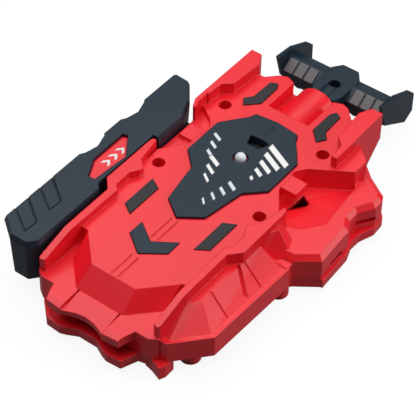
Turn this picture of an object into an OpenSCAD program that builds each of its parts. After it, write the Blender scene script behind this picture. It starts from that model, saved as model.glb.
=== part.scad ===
/* [Case] */
// Half of the width over the side wing
half_w = 50; // [49:0.5:54]
// Length from the launch axis to the tips of the front fins
reach = 50; // [49:0.5:54]
// Height of the deck above the end of the launch spigot
deck_z = 24; // [24:0.5:28]
// Thickness of the moulded walls
wall = 2; // [1.6:0.1:2.2]
// Height of the underside above the end of the launch spigot
floor_z = 4; // [3.8:0.1:4.1]
// Height of the lip of the lower shell
lip_h = 4; // [3:0.5:5]
// How far the feet reach below the end of the launch spigot
foot_drop = 0.5; // [0.3:0.1:2]
// Radius of a foot
foot_r = 4; // [3:0.5:5]
// Height of the side walls above the deck
wall_rise = 3.2; // [2:0.2:5]
// Height of the front fins above the deck
fin_rise = 4.9; // [3:0.1:7]
// Drop from the deck to the rear step
step_drop = 6.5; // [5:0.5:8]
// Thickness of the rear step
step_t = 4; // [3:0.5:5]
// Drop from the deck to the inner edge of the side tray
tray_inner_drop = 2; // [1:0.5:4]
// Drop from the deck to the rim of the side tray
tray_drop = 8; // [7.5:0.5:8.5]
// Drop from the deck to the flat of the side wing
wing_drop = 6; // [5:0.5:7]
// Thickness of a tab over a side pocket
tab_t = 3; // [2:0.5:4]
// Outer radius of the string snout
snout_r = 8.7; // [8:0.1:9.2]
// Depth of the snout's mouth
mouth_depth = 5; // [4:0.5:7]

/* [Top dress] */
// How far the dark top plate stands above the deck
plate_rise = 1; // [0.5:0.1:2]
// How deep the top plate and the inlays sit in the deck
inlay_depth = 0.8; // [0.5:0.1:1]
// How far the textured pads stand above the deck
pad_rise = 0.4; // [0.2:0.1:1]
// Radius of the hole for the centre pin in the top plate
dome_hole_r = 3; // [2.8:0.1:3.4]
// Inner radius of the sensor window
window_in_r = 8; // [7:0.5:8.5]
// Outer radius of the sensor window
window_out_r = 13; // [12:0.1:13.2]
// Half of the sensor window's angle
window_half_deg = 19.5; // [15:0.5:24]
// Width of the fine grooves
groove_w = 0.6; // [0.4:0.1:0.8]
// Depth of the fine grooves
groove_depth = 0.4; // [0.2:0.1:0.5]

/* [Gear train] */
// Tooth module of every gear
gear_m = 0.85; // [0.84:0.01:0.87]
// Teeth on the big spool gear
spool_teeth = 28; // [27:1:29]
// Teeth on the forward gear
forward_teeth = 14; // [14:1:15]
// Teeth on the small spool gear
feed_teeth = 20; // [20:1:20]
// Teeth on the idler gear
idler_teeth = 14; // [14:1:14]
// Teeth on the reverse gear
reverse_teeth = 16; // [15:1:16]
// Thickness of the forward pair of gears
gear_t = 3.2; // [3:0.1:3.3]
// Thickness of the reverse train of gears
reverse_t = 2.4; // [2:0.1:2.5]
// Sideways distance from the launch axis to the spool axis
spool_x = 6.2; // [5.8:0.1:6.6]

/* [String spool] */
// Height of the spool drum
drum_h = 7.6; // [7.4:0.1:7.7]
// Outer radius of the spool flanges
flange_r = 10.2; // [9:0.2:10.4]
// Radius of the core that the string winds on
core_r = 4.7; // [4.2:0.1:5]
// Thickness of a spool flange
flange_t = 1.3; // [1:0.1:1.5]
// Diameter of the pull string
string_d = 1; // [0.8:0.1:1.2]
// Radius of the fixed spool axle
axle_r = 1.6; // [1.4:0.1:1.8]
// Radius of the recoil spring's arbor on the axle
arbor_r = 2.4; // [2.2:0.1:2.6]
// Width of the recoil spring band
band_h = 1.8; // [1.4:0.1:1.9]
// Thickness of the recoil spring band
band_t = 0.25; // [0.2:0.05:0.3]
// Turns of the recoil spring
band_turns = 5; // [3:1:6]

/* [Launch shaft] */
// Outer radius of the launch shaft
shaft_r = 3.2; // [3.1:0.1:3.3]
// Radius of the stem of the centre pin
stem_r = 1.1; // [1:0.1:1.2]
// Radius of the centre pin's dome
dome_r = 2.15; // [2:0.05:2.3]
// How far the dome stands above the top plate
dome_proud = 2; // [1.5:0.1:3]
// Radius of the launch spigot
spigot_r = 5; // [4.6:0.1:5.4]
// Outer radius of the three launch prongs
prong_r = 10.2; // [9.5:0.1:11]
// Radius of the sensor disc
disc_r = 13.5; // [13.3:0.1:13.7]

/* [Direction change] */
// Travel of the side selector
selector_travel = 4; // [3:0.5:4]
// Lift of the shift collar over that travel
shift_lift = 2; // [1.8:0.1:2.1]
// Height of the driving dogs
dog_h = 1.3; // [1.1:0.1:1.4]
// Height of the side selector above the deck
selector_rise = 3.8; // [3.5:0.1:5]
// Height of the underside of the side selector
selector_floor_z = 8.5; // [8:0.1:8.6]
// Depth of the selector's window
window_depth = 3.4; // [3:0.2:4]
// Depth of the shallow recesses in the selector's top
recess_depth = 0.8; // [0.4:0.1:1]

/* [Pull handle] */
// Distance between the outer faces of the handle's end plates
handle_w = 50.4; // [48:0.2:56]
// Gap between the snout and the handle's hub
handle_gap = 7.3; // [6:0.1:9]
// Length of the handle's hub
hub_l = 16; // [15:0.5:20]
// Width of the handle's hub
hub_w = 13.6; // [12:0.2:15]
// Height of the hub
hub_h = 8.4; // [7:0.2:9]
// Thickness of an end plate
end_plate_t = 1.6; // [1.4:0.1:2]
// Radius of the plug that docks in the snout
plug_r = 5; // [4.5:0.1:5.4]
// Radius of the handle screw's counterbore
hub_bore_r = 2.5; // [2.4:0.1:2.8]

/* [Fasteners] */
// Radius of the wells above the case screws
well_r = 2.5; // [2.4:0.1:2.7]
// Radius of a screw head
head_r = 2.2; // [2:0.1:2.3]
// Radius of a screw shank
shank_r = 1.1; // [0.9:0.1:1.2]

/* [Hidden] */

red = "#e5202e";
slate = "#3b4650";
pad_black = "#2a2c30";
rib_grey = "#7b7b7d";
steel = "#b8bcc0";
acetal = "#e8e6dc";

over = 0.02 * wall;
fine = 64;
seat = 0.15;
run = 0.05;
free = 0.3;
lining_t = 0.8;
stack_gap = 0.4;
web_t = 0.8;

split_z = floor_z + wall + 0.25 * wall;
low_z = deck_z - tray_drop;
forward_z = floor_z + wall + 2 * stack_gap;
drum_z = forward_z + gear_t;
string_z = drum_z + drum_h / 2;
reverse_z = drum_z + drum_h;
disc_z = reverse_z + reverse_t + 1.5 * stack_gap;
disc_t = 0.7;
roof_z = deck_z - wall;

// Outlines: right half from back to front, as shares of half_w and reach
spine_shares = [
    [0, -1.5], [0.196, -1.5], [0.424, -1.266], [0.49, -1.26], [0.52, -1.66], [0.54, -1.66],
    [0.54, -0.9], [0.56, -0.29], [0.41, -0.08], [0.392, 0.14], [0.448, 0.22], [0.6, 0.32],
    [0.6, 0.87], [0.41, 0.874], [0.322, 0.964], [0.26, 0.988], [0.19, 0.96], [0, 0.95]
];
slope_top_shares = [[0.196, -1.5], [0.424, -1.266], [0.424, -1.2], [0.1, -1.2]];
slope_foot_shares = [[0.208, -1.664], [0.41, -1.46], [0.41, -1.2], [0.1, -1.2]];
rear_low_shares = [[0, -1.72], [0.48, -1.72], [0.54, -1.68], [0.54, -1.2], [0, -1.2]];
step_shares = [
    [0, -1.81], [0.08, -1.82], [0.16, -1.846], [0.19, -1.868], [0.322, -1.858],
    [0.386, -1.67], [0.52, -1.66], [0.52, -1.24], [0, -1.24]
];
step_groove_shares = [[0.178, -1.9], [0.19, -1.9], [0.19, -1.64], [0.178, -1.64]];
step_slope_share = [-1.69, -1.815, -1.9];
outer_wall_shares = [
    [0.486, -1.37], [0.488, -1.666], [0.528, -1.68], [0.54, -1.66], [0.54, -0.9], [0.622, -0.81],
    [0.622, -0.3], [0.612, -0.27], [0.584, -0.27], [0.546, -0.5], [0.478, -0.562], [0.482, -0.604],
    [0.526, -0.67], [0.524, -0.818], [0.48, -0.862]
];
tray_shares = [[0.5, -1.662], [0.592, -1.662], [0.82, -1.408], [0.854, -0.56], [0.5, -0.54]];
tray_top_shares = [[0.5, -1.358], [0.536, -1.358], [0.612, -1.282], [0.622, -0.6], [0.5, -0.6]];
tray_foot_shares = [[0.5, -1.63], [0.59, -1.63], [0.79, -1.404], [0.82, -0.59], [0.5, -0.6]];
tray_slot_shares = [[0.6, -0.86], [0.9, -1.1], [0.9, -1.064], [0.66, -0.872], [0.6, -0.836]];
tray_line_shares = [[0.6, -1.18], [0.9, -1.232], [0.9, -1.22], [0.6, -1.168]];
tray_line_step_share = 0.38;
neck_shares = [[0.5, -0.62], [0.83, -0.6], [0.83, -0.44], [0.5, -0.44]];
fender_foot_shares = [[0.5, -0.63], [0.63, -0.62], [0.81, -0.45], [0.78, -0.36], [0.5, -0.31]];
fender_top_shares = [[0.5, -0.56], [0.61, -0.52], [0.65, -0.42], [0.61, -0.33], [0.5, -0.33]];
wing_shares = [
    [0.36, -0.5], [0.832, -0.488], [1, -0.364], [0.98, 0.01], [0.93, 0.1], [0.926, 0.2],
    [1.006, 0.328], [1.002, 0.424], [0.98, 0.468], [0.796, 0.584], [0.6, 0.76], [0.36, 0.76]
];
wing_top_shares = [
    [0.36, -0.46], [0.816, -0.452], [0.96, -0.34], [0.94, 0], [0.894, 0.086], [0.89, 0.21],
    [0.966, 0.34], [0.962, 0.41], [0.944, 0.44], [0.78, 0.54], [0.6, 0.7], [0.36, 0.7]
];
wing_pocket_shares = [
    [0.44, -0.3], [0.676, -0.242], [0.83, -0.142], [0.784, 0.38], [0.75, 0.408], [0.444, 0.24],
    [0.35, 0.14], [0.38, -0.08]
];
wing_slot_shares = [[0.88, -0.23], [1.1, -0.23], [1.1, -0.08], [0.88, -0.08]];
wing_slot_step_share = 0.42;
socket_shares = [[0.488, -0.11], [0.59, -0.07], [0.59, 0.07], [0.498, 0.124]];
base_top_shares = [[0.4, 0.192], [0.444, 0.22], [0.75, 0.412], [0.758, 0.56], [0.62, 0.68], [0.4, 0.68]];
base_foot_shares = [[0.4, 0.17], [0.478, 0.212], [0.772, 0.4], [0.83, 0.43], [0.782, 0.584], [0.4, 0.76]];
left_low_shares = [
    [-0.57, 0.36], [-0.57, -1.6], [-0.5, -1.68], [-0.3, -1.68], [-0.3, 0.6], [-0.6, 0.6], [-0.6, 0.4]
];
fin_shares = [
    [0.486, 0.57], [0.562, 0.502], [0.568, 0.358], [0.616, 0.36], [0.614, 0.986],
    [0.518, 0.984], [0.466, 0.882]
];
left_shelf_shares = [[-0.568, -0.3], [-0.568, 0.37], [-0.3, 0.37], [-0.3, -0.3]];
nook_wall_shares = [
    [-0.616, 0.37], [-0.616, 0.25], [-0.578, 0.17], [-0.552, 0.17], [-0.58, 0.25], [-0.58, 0.37]
];
nook_floor_shares = [[-0.616, 0.37], [-0.616, 0.25], [-0.578, 0.17], [-0.545, 0.17], [-0.545, 0.37]];
nook_web_shares = [[-0.568, 0.37], [-0.568, 0.17], [-0.545, 0.17], [-0.545, 0.37]];
snout_gap_shares = [[0, 0.62], [0.186, 0.62], [0.186, 1.1], [0, 1.1]];
tab_shares = [[0.3, -0.05], [0.54, -0.05], [0.54, 0.1], [0.3, 0.1]];
cavity_shares = [
    [0, -1.46], [0.19, -1.46], [0.4, -1.25], [0.54, -1.2], [0.56, -0.29], [0.41, -0.08],
    [0.392, 0.14], [0.448, 0.22], [0.6, 0.32], [0.6, 0.86], [0.42, 0.86], [0.3, 0.93],
    [0.19, 0.9], [0.19, 0.6], [0, 0.6]
];
low_cavity_shares = [
    [-0.57, -1.6], [-0.48, -1.72], [0.48, -1.72], [0.59, -1.65], [0.82, -1.4], [0.84, -0.5],
    [0.97, -0.35], [0.95, 0], [0.9, 0.1], [0.9, 0.21], [0.97, 0.34], [0.96, 0.43],
    [0.62, 0.68], [0.6, 0.74], [0.19, 0.74], [0.19, 0.66], [-0.19, 0.66], [-0.19, 0.74],
    [-0.6, 0.74], [-0.6, 0.4], [-0.57, 0.36]
];
lower_shares = [
    [-0.57, -1.6], [-0.52, -1.67], [-0.46, -1.73], [-0.336, -1.85], [-0.21, -1.858],
    [-0.16, -1.84], [-0.08, -1.8], [0.08, -1.8], [0.16, -1.84], [0.21, -1.858], [0.336, -1.85],
    [0.39, -1.72], [0.52, -1.69], [0.54, -1.6], [0.74, -1.36], [0.775, -0.56], [0.83, -0.484],
    [1, -0.36], [1.016, -0.36],
    [1.002, -0.02], [0.964, 0.09], [0.968, 0.19], [1.016, 0.32], [1.01, 0.44], [0.98, 0.48],
    [0.8, 0.6], [0.63, 0.74], [0.6, 0.79], [0.42, 0.79], [0.322, 0.984], [0.26, 1.004],
    [-0.26, 1.004], [-0.322, 0.984], [-0.42, 0.79], [-0.6, 0.79], [-0.626, 0.74],
    [-0.626, 0.4], [-0.58, 0.34]
];
plate_shares = [
    [0, -0.782], [0.166, -0.662], [0.228, -0.3], [0.37, -0.162], [0.37, 0.208], [0.29, 0.314],
    [0.22, 0.4], [0.192, 0.466], [0, 0.488]
];
chevron_shares = [[0, -1.082], [0.17, -0.966], [0.172, -1.102], [0, -1.228]];
rear_pad_shares = [[0.292, -0.952], [0.386, -0.89], [0.386, -0.568], [0.292, -0.62]];
front_pad_shares = [
    [0.34, 0.502], [0.388, 0.57], [0.336, 0.632], [0.328, 0.844], [0.276, 0.87],
    [0.248, 0.82], [0.244, 0.6]
];
front_screw_share = [0.456, 0.421];
rear_screw_share = [0.462, -0.399];
snout_back_share = 0.62;
snout_front_share = 1.034;
post_foot_shares = [[0.42, -1.6], [0.43, -1.69], [0.5, -1.705], [0.588, -1.738], [0.61, -1.69], [0.61, -1.6]];
foot_places_shares = [
    [0.62, -1.42], [0.75, -0.54], [-0.44, -1.5], [-0.44, -0.5], [0.42, 0.66], [-0.42, 0.66]
];

// Side selector outlines, as shares of half_w across and reach along
grip_top_shares = [
    [-0.578, 0.06], [-0.652, 0.23], [-0.79, 0.41], [-0.924, 0.418], [-0.944, 0.388],
    [-0.948, -1.572], [-0.79, -1.692], [-0.64, -1.692], [-0.578, -1.62]
];
grip_foot_shares = [
    [-0.584, 0.04], [-0.66, 0.21], [-0.77, 0.36], [-0.87, 0.37], [-0.89, 0.33],
    [-0.88, -1.55], [-0.78, -1.68], [-0.65, -1.68], [-0.584, -1.6]
];
grip_notch_shares = [[-0.63, -0.9], [-0.63, -0.25], [-0.4, -0.25], [-0.4, -0.99], [-0.53, -0.99]];
scallop_shares = [
    [-1.1, -0.8], [-0.96, -0.8], [-0.905, -0.71], [-0.88, -0.6], [-0.915, -0.48],
    [-0.96, -0.43], [-1.1, -0.43]
];
scallop_step_share = 0.482;
window_shares = [
    [-0.672, -0.888], [-0.644, -0.56], [-0.778, -0.366], [-0.82, -0.382], [-0.82, -0.718],
    [-0.732, -0.892]
];
recess_shares = [[-0.724, -1.608], [-0.714, -1.476], [-1, -1.27], [-1, -1.425]];
recess_step_share = 0.268;
carrier_y_share = [-1.58, 0.21];
carrier_end_share = 0.06;
rail_y_share = [-1.4, 0.12];

function ccw(p) = let (n = len(p), a = [for (i = [0 : n - 1]) cross(p[i], p[(i + 1) % n])])
    a * [for (v = a) 1] < 0 ? [for (i = [n - 1 : -1 : 0]) p[i]] : p;
function at(s) = ccw([for (p = s) [p[0] * half_w, p[1] * reach]]);
function both(s) = ccw(concat(
    [for (p = s) [p[0] * half_w, p[1] * reach]],
    [for (i = [len(s) - 1 : -1 : 0]) if (s[i][0] > 0) [-s[i][0] * half_w, s[i][1] * reach]]
));
function unit(v) = v / norm(v);
function left_of(v) = [-v[1], v[0]];
function meet(p, u, q, v) = p + u * (cross(q - p, v) / cross(u, v));
function inset(p, d) = let (n = len(p)) [
    for (i = [0 : n - 1])
        let (u = unit(p[i] - p[(i + n - 1) % n]), v = unit(p[(i + 1) % n] - p[i]), b = p[i])
            abs(cross(u, v)) < 0.02
                ? b + left_of(v) * d
                : meet(b + left_of(u) * d, u, b + left_of(v) * d, v)
];
function arc(r, a0, a1, n) = [
    for (i = [0 : n]) let (a = a0 + (a1 - a0) * i / n) r * [cos(a), sin(a)]
];
function sector(r0, r1, a0, a1, n) = concat(arc(r1, a0, a1, n), arc(r0, a1, a0, n));

module slab(p, z0, z1) {
    translate([0, 0, z0]) linear_extrude(z1 - z0) polygon(p);
}

module loft(p0, z0, p1, z1) {
    n = len(p0);
    polyhedron(
        points = concat([for (p = p0) [p[0], p[1], z0]], [for (p = p1) [p[0], p[1], z1]]),
        faces = concat(
            [[for (i = [0 : n - 1]) i]],
            [[for (i = [n - 1 : -1 : 0]) n + i]],
            [for (i = [0 : n - 1]) [i, n + i, n + (i + 1) % n, (i + 1) % n]]
        )
    );
}

// A prism whose outline lies in the YZ plane, from x0 to x1
module across(p, x0, x1) {
    translate([x0, 0, 0]) rotate([90, 0, 90]) linear_extrude(x1 - x0) polygon(p);
}

module rod(r, z0, z1) {
    translate([0, 0, z0]) cylinder(r = r, h = z1 - z0, $fn = fine);
}

// A rod along Y
module bar(r, y0, y1) {
    translate([0, y0, 0]) rotate([-90, 0, 0]) cylinder(r = r, h = y1 - y0, $fn = fine);
}

module tube(r1, r0, z0, z1) {
    difference() {
        rod(r1, z0, z1);
        rod(r0, z0 - over, z1 + over);
    }
}

module both_sides() {
    children();
    mirror([1, 0, 0]) children();
}

module at_screws() {
    for (s = [front_screw_share, rear_screw_share], k = [-1, 1])
        translate([k * s[0] * half_w, s[1] * reach, 0]) children();
}

// Upper shell

wall_top = deck_z + wall_rise;
wall_slope_share = [-1.38, -1.666];
wall_end_z = deck_z - 0.22 * wall_rise;
boss_r = well_r + 0.4 * wall;
well_z = split_z + 2.5 * wall;
groove_x = 0.7 * wall;
snout_y = snout_front_share * reach;
mouth_r = plug_r + free;
eyelet_out_r = 0.6 * plug_r;
eyelet_t = 1.2;
string_bore_r = string_d + free;
tongue_y_share = [-0.322, -0.14];
tongue_z = [selector_floor_z + web_t, selector_floor_z + 3 * web_t];

module wall_taper() {
    y = wall_slope_share * reach;
    z = wall_top;
    across([[y[0], z], [y[1], wall_end_z], [2 * y[1], wall_end_z], [2 * y[1], 2 * z], [y[0], 2 * z]],
        -half_w, half_w);
}

module side_wall(z0) {
    slab(at(outer_wall_shares), z0, wall_top);
}

module tray() {
    inner_z = deck_z - tray_inner_drop;
    slab(at(tray_shares), split_z, low_z - wall / 4);
    difference() {
        slab(at(tray_shares), low_z - wall, low_z);
        slab(inset(at(tray_shares), 0.4 * wall), low_z - wall / 4, low_z + over);
    }
    difference() {
        tray_slope(0, inner_z);
        difference() {
            for (k = [0, 1])
                translate([0, k * tray_line_step_share * reach, 0])
                    slab(at(tray_line_shares), low_z - wall, deck_z);
            tray_slope(-groove_depth, inner_z);
        }
        difference() {
            slab(at(tray_slot_shares), low_z - wall, deck_z);
            tray_slope(-0.75 * wall, inner_z);
        }
    }
}

module tray_slope(rise, inner_z) {
    translate([0, 0, rise]) loft(at(tray_foot_shares), low_z - wall / 2, at(tray_top_shares), inner_z);
}

module wing() {
    wing_z = deck_z - wing_drop;
    difference() {
        union() {
            slab(at(wing_shares), split_z, low_z);
            loft(at(wing_shares), low_z - over, at(wing_top_shares), wing_z);
        }
        intersection() {
            slab(at(wing_pocket_shares), low_z - wall / 4, wing_z + over);
            translate([0.48 * half_w, -0.1 * reach, 0]) rotate(54) across([
                [-reach, low_z + 0.15 * reach], [reach, low_z - 0.15 * reach],
                [reach, 2 * deck_z], [-reach, 2 * deck_z]
            ], -half_w, half_w);
        }
        for (i = [0 : 1])
            translate([0, i * wing_slot_step_share * reach, i * wall])
                slab(at(wing_slot_shares), split_z + wall / 2, split_z + 1.6 * wall);
    }
}

// The wall behind the left fin, above the end of the selector's carrier, and the shelf beside the selector
module nook() {
    z = carrier_z[1] + free;
    slab(at(nook_wall_shares), z, deck_z + fin_rise);
    slab(at(nook_floor_shares), z, deck_z - wall);
    slab(at(left_shelf_shares), deck_z - 2 * wall, deck_z - wall);
    slab(at(nook_web_shares), low_z - wall, z + over);
}

module blank() {
    slab(both(spine_shares), split_z, deck_z);
    loft(both(slope_foot_shares), deck_z - step_drop - over, both(slope_top_shares), deck_z);
    slab(both(rear_low_shares), split_z, deck_z - step_drop);
    slab(both(step_shares), deck_z - step_drop - step_t, deck_z - step_drop);
    slab(at(left_low_shares), split_z, low_z);
    side_wall(split_z);
    mirror([1, 0, 0]) side_wall(deck_z - step_drop);
    tray();
    wing();
    nook();
    slab(at(neck_shares), split_z, low_z - wall / 2);
    loft(at(fender_foot_shares), low_z - wall / 2 - over, at(fender_top_shares), deck_z);
    loft(at(base_foot_shares), low_z - wall / 2 - over, at(base_top_shares), deck_z);
    both_sides() {
        slab(at(fin_shares), split_z, deck_z + fin_rise);
        slab(at(tab_shares), deck_z - free - tab_t, deck_z - free);
    }
}

module upper_cavity() {
    slab(inset(both(cavity_shares), wall), low_z - 2 * wall, roof_z);
    slab(inset(at(low_cavity_shares), wall), split_z - over, low_z - wall);
}

// The lower front corners of the fins
module bow_cut() {
    both_sides() across([
        [0.79 * reach, split_z - over], [1.1 * reach, split_z - over],
        [1.1 * reach, low_z + wall / 4], [0.99 * reach, low_z + wall / 4]
    ], 0.43 * half_w, half_w);
}

module upper_bosses() {
    at_screws() rod(boss_r, split_z, roof_z + over);
    translate(spool_at) rod(axle_r + wall / 2, reverse_z + reverse_t + stack_gap, roof_z + over);
    translate([post_x, post_y, 0]) rod(post_r + 0.3 * wall, roof_z - wall, roof_z + over);
}

module deck_cuts() {
    recess_z = deck_z - inlay_depth;
    slab(inset(both(plate_shares), -seat), recess_z, deck_z + over);
    slab(inset(both(chevron_shares), -seat), recess_z, deck_z + over);
    both_sides() {
        slab(inset(at(rear_pad_shares), -seat), recess_z, deck_z + over);
        slab(inset(at(front_pad_shares), -seat), recess_z, deck_z + over);
        translate([groove_x, 0, 0]) groove_cut([-1.49, -1.26]);
        translate([groove_x, 0, 0]) groove_cut([-1.04, -0.8]);
        slab(at(step_groove_shares), deck_z - step_drop - 0.8 * wall, deck_z - step_drop + over);
    }
    step_slope(step_slope_share[0], 1.3 * wall, step_groove_shares[0][0] * half_w);
    step_slope(step_slope_share[1], 0.65 * wall, half_w);
    rod(dome_hole_r, roof_z - over, deck_z);
    window(lining_t + seat, roof_z - over, deck_z);
    at_screws() {
        rod(well_r, well_z, deck_z + over);
        rod(shank_r, split_z - over, deck_z);
    }
}

module step_slope(start_share, drop, half) {
    y = [start_share * reach, step_slope_share[2] * reach];
    z = deck_z - step_drop;
    across([[y[0], z], [y[1], z - drop], [y[1], z + wall], [y[0], z + wall]], -half, half);
}

module groove_cut(y_share) {
    translate([-groove_w / 2, y_share[0] * reach, deck_z - groove_depth])
        cube([groove_w, (y_share[1] - y_share[0]) * reach, 2 * groove_depth]);
}

// The sensor window, grown by the thickness of its lining
module window(grow, z0, z1) {
    half = window_half_deg + 2 * grow / (window_in_r + window_out_r) * 180 / PI;
    slab(sector(window_in_r - grow, window_out_r + grow, 90 - half, 90 + half, 8), z0, z1);
}

// Room for the gear train
module train_room() {
    translate(spool_at) {
        rod(spool_r + gear_m + free, split_z - over, drum_z);
        rod(flange_r + free, drum_z - over, reverse_z + reverse_t + stack_gap);
    }
    translate(idler_at) rod(idler_r + gear_m + free, reverse_z - free, disc_z - stack_gap);
}

module snout_bores() {
    translate([0, 0, string_z]) {
        bar(mouth_r, snout_y - mouth_depth, snout_y + over);
        bar(eyelet_out_r, snout_y - mouth_depth - eyelet_t, snout_y);
        bar(string_bore_r, snout_back_share * reach - 3 * wall, snout_y);
    }
}

module upper_shell() {
    color(red) difference() {
        union() {
            difference() {
                blank();
                wall_taper();
                bow_cut();
                upper_cavity();
                slab(both(snout_gap_shares), string_z + snout_r / 2, 2 * deck_z);
            }
            intersection() {
                upper_bosses();
                slab(both(spine_shares), split_z, deck_z);
            }
            intersection() {
                translate([0, 0, string_z]) bar(snout_r, snout_back_share * reach, snout_y);
                translate([-half_w / 2, 0, split_z]) cube([half_w, 2 * reach, deck_z]);
            }
        }
        deck_cuts();
        train_room();
        snout_bores();
        both_sides() slab(at(socket_shares), split_z + 2 * wall, low_z + over);
        translate([tongue_x[0], tongue_y_share[0] * reach - free, tongue_z[0] - free])
            cube([
                tongue_x[1] - tongue_x[0] + wall,
                (tongue_y_share[1] - tongue_y_share[0]) * reach + selector_travel + 2 * free,
                tongue_z[1] - tongue_z[0] + 2 * free
            ]);
        translate(spool_at) rod(axle_r, roof_z - wall, roof_z);
        translate([post_x, post_y, 0]) rod(post_r, roof_z - 2 * wall, roof_z);
    }
}

// Lower shell

module lower_shell() {
    outline = at(lower_shares);
    color(red) difference() {
        union() {
            slab(outline, floor_z, floor_z + wall);
            difference() {
                slab(outline, split_z - lip_h, split_z);
                slab(inset(outline, wall), split_z - lip_h - over, split_z + over);
            }
            at_screws() rod(boss_r, floor_z, split_z);
            for (s = foot_places_shares)
                translate([s[0] * half_w, s[1] * reach, 0]) rod(foot_r, -foot_drop, split_z);
            slab(at(post_foot_shares), wall / 4, split_z);
            intersection() {
                mirror([1, 0, 0]) slab(at(post_foot_shares), wall / 4, split_z);
                slab(outline, 0, split_z);
            }
            tube(prong_r + 2 * wall, prong_r + wall, floor_z - wall, floor_z + over);
            rod(shaft_r + wall, floor_z, forward_z - stack_gap);
            translate(spool_at) rod(arbor_r + wall / 2, floor_z, forward_z - stack_gap);
        }
        rod(shaft_r + run, floor_z - over, deck_z);
        translate(spool_at) rod(arbor_r, floor_z + wall / 2, deck_z);
        translate([idler_at[0], idler_at[1], 0]) rod(idler_pin_r, floor_z + wall / 2, deck_z);
        translate([post_x, post_y, 0]) rod(post_r, floor_z + wall / 2, deck_z);
        at_screws() rod(shank_r, floor_z + wall / 4, deck_z);
    }
}

// Dress on the deck

module top_plate() {
    color(slate) difference() {
        union() {
            slab(both(plate_shares), deck_z - inlay_depth, deck_z + plate_rise);
            window(lining_t, roof_z, deck_z);
        }
        rod(dome_hole_r, 0, 2 * deck_z);
        window(0, 0, 2 * deck_z);
        translate([-groove_w, window_out_r + wall, deck_z + plate_rise - groove_depth])
            cube([2 * groove_w, 3 * wall, 2 * groove_depth]);
    }
}

module chevron_inlay() {
    color(slate) slab(both(chevron_shares), deck_z - inlay_depth, deck_z + pad_rise);
}

module front_pads() {
    color(pad_black) both_sides() slab(at(front_pad_shares), deck_z - inlay_depth, deck_z + pad_rise);
}

module rear_pads() {
    color(pad_black) both_sides() slab(at(rear_pad_shares), deck_z - inlay_depth, deck_z + pad_rise);
}

module string_eyelet() {
    y = snout_y - mouth_depth;
    color(steel) translate([0, 0, string_z]) difference() {
        bar(eyelet_out_r, y - eyelet_t, y);
        bar(string_bore_r, y - eyelet_t - over, y + over);
    }
}

module case_screws() {
    color(steel) at_screws() {
        rod(shank_r, floor_z + wall / 4, well_z + over);
        difference() {
            rod(head_r, well_z, well_z + wall);
            for (a = [0, 90])
                rotate(a) translate([-head_r, -groove_w / 2, well_z + wall - groove_w])
                    cube([2 * head_r, groove_w, wall]);
        }
    }
}

// Gears

mesh_slack = 0.12;
tooth_play = 0.05;
press_deg = 25;
spool_r = gear_m * spool_teeth / 2;
forward_r = gear_m * forward_teeth / 2;
feed_r = gear_m * feed_teeth / 2;
idler_r = gear_m * idler_teeth / 2;
reverse_r = gear_m * reverse_teeth / 2;
main_cd = spool_r + forward_r + mesh_slack;
feed_cd = feed_r + idler_r + mesh_slack;
reverse_cd = idler_r + reverse_r + mesh_slack;
spool_y = sqrt(pow(main_cd, 2) - pow(spool_x, 2));
spool_at = [-spool_x, spool_y];
idler_along = (pow(feed_cd, 2) - pow(reverse_cd, 2) + pow(main_cd, 2)) / (2 * main_cd);
idler_off = sqrt(pow(feed_cd, 2) - pow(idler_along, 2));
idler_at = spool_at + unit(-spool_at) * idler_along + left_of(unit(-spool_at)) * idler_off;
idler_pin_r = 1.3;
post_r = 1.5;
post_x = -12;
post_y = -10.4;
tongue_x = [-0.6 * half_w, post_x - 2.3 * wall];

function roll_deg(rb, r) = sqrt(max(0, pow(r / rb, 2) - 1)) * 180 / PI;
function flank_deg(rb, r) = let (t = roll_deg(rb, r)) t - atan(t * PI / 180);
function half_tooth(teeth, r) =
    let (rp = gear_m * teeth / 2, rb = rp * cos(press_deg))
        90 / teeth + flank_deg(rb, rp) - flank_deg(rb, r) - tooth_play / rp * 180 / PI;
function gear_outline(teeth, phase) =
    let (
        rp = gear_m * teeth / 2,
        rb = rp * cos(press_deg),
        root = rp - 1.25 * gear_m,
        low = max(rb, root),
        tip = rp + gear_m,
        radii = [low, low + (tip - low) / 3, low + (tip - low) * 2 / 3, tip]
    ) [
        for (i = [0 : teeth - 1])
            let (a = phase + 360 * i / teeth)
                each concat(
                    [root * [cos(a - half_tooth(teeth, low)), sin(a - half_tooth(teeth, low))]],
                    [for (r = radii) r * [cos(a - half_tooth(teeth, r)), sin(a - half_tooth(teeth, r))]],
                    [
                        for (k = [3 : -1 : 0])
                            let (r = radii[k], b = a + half_tooth(teeth, r)) r * [cos(b), sin(b)]
                    ],
                    [root * [cos(a + half_tooth(teeth, low)), sin(a + half_tooth(teeth, low))]]
                )
    ];
// Turn of a driven gear so that its gap faces a tooth of the driver along the line of centres
function mesh_phase(from, from_teeth, from_phase, to, to_teeth) =
    let (
        d = to - from,
        theta = atan2(d[1], d[0]),
        f = (theta - from_phase) * from_teeth / 360
    ) theta + 180 - (0.5 - f) * 360 / to_teeth;

forward_phase = mesh_phase(spool_at, spool_teeth, 0, [0, 0], forward_teeth);
idler_phase = mesh_phase(spool_at, feed_teeth, 0, idler_at, idler_teeth);
reverse_phase = mesh_phase(idler_at, idler_teeth, idler_phase, [0, 0], reverse_teeth);

module gear(teeth, phase, z0, z1) {
    slab(gear_outline(teeth, phase), z0, z1);
}

dog_in_r = 3.8;
dog_out_r = 5.2;
dog_half = 20;

module dogs(turn, z0, z1) {
    for (i = [0 : 2])
        slab(sector(dog_in_r, dog_out_r, turn + 120 * i - dog_half, turn + 120 * i + dog_half, 4), z0, z1);
}

module spool_axle() {
    color(steel) translate(spool_at) {
        rod(arbor_r, floor_z + wall / 2, drum_z - stack_gap / 2);
        rod(axle_r, floor_z + wall, roof_z - stack_gap / 4);
    }
}

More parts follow.
